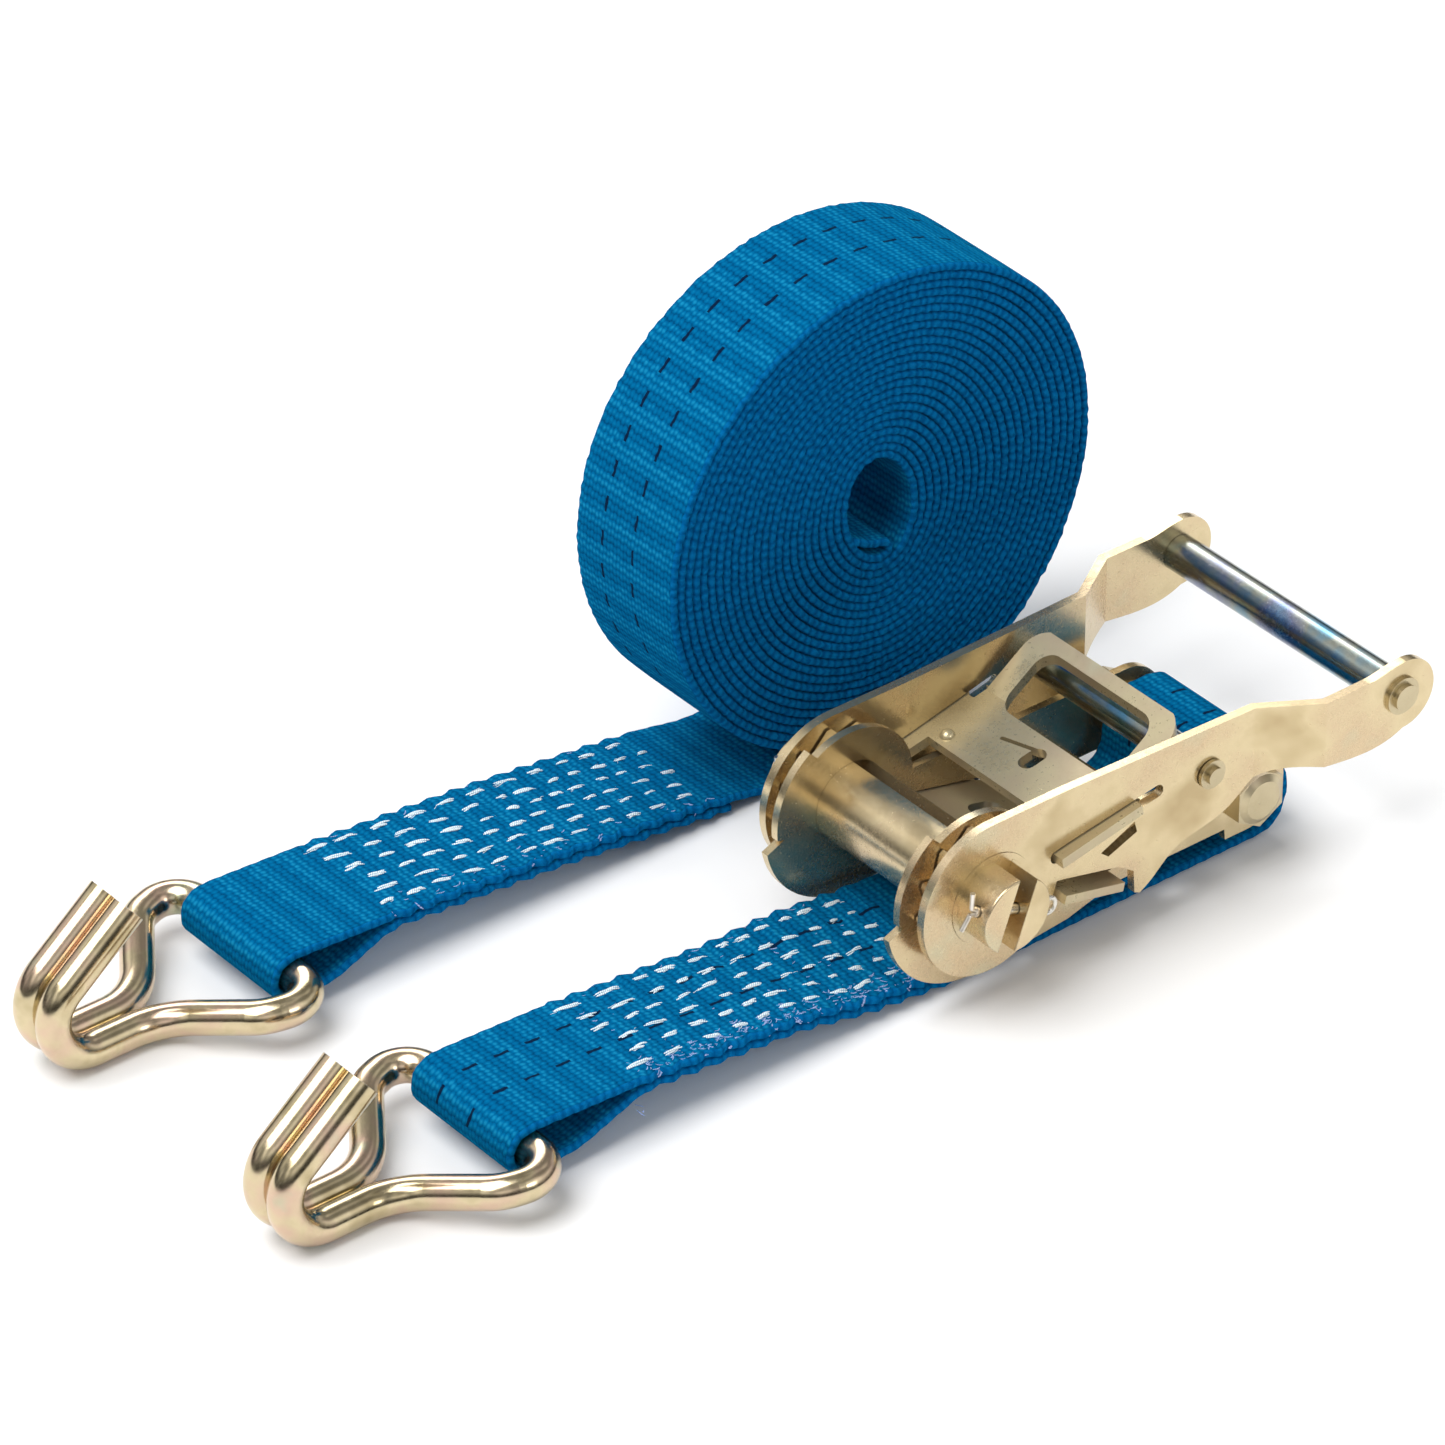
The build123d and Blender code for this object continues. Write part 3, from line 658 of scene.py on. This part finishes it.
def stitching(name, node, body, seam, centre_y, lift, x0, x1, fuzz):
    """Rows of stitches from x0 to x1 on both sides of a seam, and fuzz loose fibres on its top."""
    verts, faces, uvs = [], [], []
    top, low = seam
    for line, sign, off in ((top, 1, 1.18), (low, -1, 1.0)):
        for row in range(STITCH_ROWS):
            y0 = FIRST_ROW - ROW_PITCH * row
            x = x0 + random.uniform(0.0, 3.0) + (4.0 if row in (3, 4) else 0.0)
            while x < x1:
                along = (x - x0) / (x1 - x0)
                half = random.uniform(3.0, 4.9) * (1.0 - 0.35 * along)
                z, slope = on_line(line, x)
                yy = y0 + random.uniform(-0.5, 0.5)
                tilt = random.uniform(-0.16, 0.16)

                def centre(a, b, c, x=x, z=z, slope=slope, yy=yy, tilt=tilt):
                    ya = yy + b + a * tilt
                    xa = x + a * cos(slope) - sign * c * sin(slope)
                    za = z + a * sin(slope) + sign * (off + c + 0.06)
                    return place(xa, centre_y + ya, za + lift(x, ya))

                stitch(verts, faces, uvs, centre, half, random.uniform(0.26, 0.42) * (1.0 - 0.3 * along))
                x += 2 * half + random.uniform(0.5, 1.8)
    # fine loose thread over the seam, thickest along the near edge
    sewn = len(faces)
    for _ in range(fuzz):
        x = random.uniform(x0 - 3, x1 + 2)
        ya = -17.2 + 6.5 * random.random() ** 1.6 if random.random() < 0.8 else random.uniform(-17, 17)
        z, slope = on_line(top, x)
        lie = random.uniform(-0.9, 0.9)

        def centre(a, b, c, x=x, z=z, slope=slope, ya=ya, lie=lie):
            xa, yb = x + a * cos(lie) - b * sin(lie), ya + a * sin(lie) + b * cos(lie)
            drop = 1.1 * max(0.0, (-16.2 - yb)) ** 1.5
            return place(xa, centre_y + max(yb, -17.7), z + a * sin(slope) + 1.12 + c - drop + lift(x, ya))

        half, radius = random.uniform(0.3, 1.1), random.uniform(0.08, 0.15)
        strand(verts, faces, uvs, centre, half, radius, lambda t: (0.2 * t * t, 0.0))
    obj = smooth_object(name, verts, faces, uvs, THREAD, FLUFF)
    obj.data.polygons.foreach_set("material_index", [int(k >= sewn) for k in range(len(faces))])
    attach(obj, body)
    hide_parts(node)


stitching(
    "short_stitches", "short_stitching", "ratchet_frame",
    ([(-88, 14.0), (-40, 9.7), (-4, 5.7)], [(-88, 11.8), (-40, 7.5), (-4, 3.5)]),
    0.0, seam_lift, x0=-86.0, x1=-8.0, fuzz=420,
)
stitching(
    "long_stitches", "long_stitching", "long_strap_body",
    ([(-94, 13.9), (-45, 9.7), (-9, 5.4), (3, 3.8)], [(-94, 11.7), (-45, 7.5), (-9, 3.2), (3, 1.6)]),
    LONG_Y, level, x0=-92.0, x1=-3.0, fuzz=70,
)


# ---------------------------------------------------------------- springs
def coil(name, node, body, start, tilt, length, radius, wire, turns):
    """A round-wire spring from start along x tilted up by tilt degrees, in drum coordinates.
    """
    ax, az = cos(radians(tilt)), sin(radians(tilt))
    sides, per_turn = 8, 20
    rings = int(turns * per_turn) + 1
    verts, faces = [], []
    for i in range(rings):
        share = i / (rings - 1)
        a = 2 * pi * turns * share
        for j in range(sides):
            b = 2 * pi * j / sides
            r = radius + wire * cos(b)
            along = length * share + wire * sin(b)
            y, up = r * cos(a), r * sin(a)
            x, z = start[0] + along * ax - up * az, start[2] + along * az + up * ax
            verts.append(place(x, start[1] + y, z))
    for i in range(rings - 1):
        for j in range(sides):
            k = (j + 1) % sides
            faces.append((i * sides + j, i * sides + k, (i + 1) * sides + k, (i + 1) * sides + j))
    faces.append(tuple(range(sides - 1, -1, -1)))
    faces.append(tuple(range((rings - 1) * sides, rings * sides)))
    obj = smooth_object(name, verts, faces, [], WIRE)
    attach(obj, body)
    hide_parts(node)
    end = place(start[0] + length * ax, start[1], start[2] + length * az)
    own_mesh(obj)


def on_plate(origin_x, origin_z, tilt, x, y, z):
    """A point given on a sloping pawl plate, in drum coordinates."""
    a = radians(tilt)
    return (origin_x + x * cos(a) - z * sin(a), y, origin_z + x * sin(a) + z * cos(a))


for tag, y in (("near", -24.1), ("far", 24.1)):
    coil(
        "drive_coil_" + tag, "drive_spring_" + tag, "handle",
        on_plate(18.0, 31.6, 11.0, 12.3, y, -3.3),
        tilt=11.0, length=13.4, radius=1.3, wire=0.3, turns=9,
    )
coil(
    "lock_coil", "lock_spring", "ratchet_frame",
    on_plate(19.0, 21.5, -13.0, 24.8, 0.0, 3.2),
    tilt=-13.0, length=7.9, radius=1.6, wire=0.35, turns=6,
)

# ---------------------------------------------------------------- floor, light, camera
floor_mesh = bpy.data.meshes.new("floor")
corners = [(x, y, -0.0004) for x, y in ((-6, -6), (6, -6), (6, 6), (-6, 6))]
floor_mesh.from_pydata(corners, [], [(0, 1, 2, 3)])
floor_graph = Graph("floor_paper")
fc = floor_graph.add("ShaderNodeTexCoord").outputs["Object"]
floor_graph.links.new(
    floor_graph.ramp(floor_graph.noise(fc, 3.0), [(0.3, (0.93, 0.93, 0.93)), (0.7, (0.95, 0.95, 0.95))]),
    floor_graph.bsdf.inputs["Base Color"],
)
floor_graph.bsdf.inputs["Roughness"].default_value = 0.9
floor_graph.bsdf.inputs["Specular IOR Level"].default_value = 0.1
floor_mesh.materials.append(floor_graph.mat)
floor = bpy.data.objects.new("floor", floor_mesh)
bpy.context.scene.collection.objects.link(floor)


def area(name, at, size, power, aim=(0.0, 0.0, 0.03)):
    """A white rectangular light that points at aim."""
    light = bpy.data.lights.new(name, "AREA")
    light.shape = "RECTANGLE"
    light.size, light.size_y = size
    light.energy = power
    obj = bpy.data.objects.new(name, light)
    bpy.context.scene.collection.objects.link(obj)
    obj.location = at
    obj.rotation_euler = (Vector(aim) - Vector(at)).to_track_quat("-Z", "Y").to_euler()


area("key", (-0.75, 0.1, 1.5), (1.3, 1.3), 26)
area("fill", (0.2, -1.6, 0.9), (0.5, 0.5), 3)
area("rim", (0.6, 1.2, 1.1), (1.0, 0.5), 7)

# the room's light: a ramp from the ground up to the zenith, broken by soft clouds
world = bpy.data.worlds.new("studio")
bpy.context.scene.world = world
world.use_nodes = True
wn, wl = world.node_tree.nodes, world.node_tree.links
back = wn["Background"]
tc = wn.new("ShaderNodeTexCoord")
sep = wn.new("ShaderNodeSeparateXYZ")
ramp = wn.new("ShaderNodeValToRGB")
shift = wn.new("ShaderNodeMapRange")
wl.new(tc.outputs["Generated"], sep.inputs[0])
wl.new(sep.outputs[2], shift.inputs["Value"])
shift.inputs["From Min"].default_value = -1.0
wl.new(shift.outputs[0], ramp.inputs[0])
cloud = wn.new("ShaderNodeTexNoise")
cloud.inputs["Scale"].default_value = 1.7
cloud.inputs["Detail"].default_value = 1.0
wl.new(tc.outputs["Generated"], cloud.inputs["Vector"])
shade = wn.new("ShaderNodeMapRange")
wl.new(cloud.outputs["Fac"], shade.inputs["Value"])
for key, val in (("From Min", 0.40), ("From Max", 0.60), ("To Min", 0.34), ("To Max", 1.4)):
    shade.inputs[key].default_value = val
dim = wn.new("ShaderNodeMix")
dim.data_type, dim.blend_type = "RGBA", "MULTIPLY"
dim.inputs[0].default_value = 1.0
wl.new(ramp.outputs[0], dim.inputs[6])
wl.new(shade.outputs[0], dim.inputs[7])
wl.new(dim.outputs[2], back.inputs[0])
# 0 is straight down, 0.5 the horizon, 1 straight up
stops = [
    (0.0, 0.8), (0.49, 0.45), (0.51, 0.05), (0.57, 0.08),
    (0.66, 0.5), (0.76, 1.0), (0.88, 0.9), (1.0, 0.9),
]
els = ramp.color_ramp.elements
while len(els) < len(stops):
    els.new(0.5)
for el, (pos, val) in zip(els, stops):
    el.position = pos
    el.color = (val, val, val, 1)
back.inputs[1].default_value = 0.85

# the camera that was fitted to the picture
cam_data = bpy.data.cameras.new("camera")
cam_data.sensor_width = 36.0
cam_data.lens = 211.5
cam_data.clip_start, cam_data.clip_end = 0.05, 20.0
cam = bpy.data.objects.new("camera", cam_data)
bpy.context.scene.collection.objects.link(cam)
cam.location = place(-992.5, -1166.6, 1102.4)
cam.rotation_euler = (radians(55.76), 0.0, radians(-38.86))
bpy.context.scene.camera = cam
bpy.context.scene.view_settings.view_transform = "Standard"
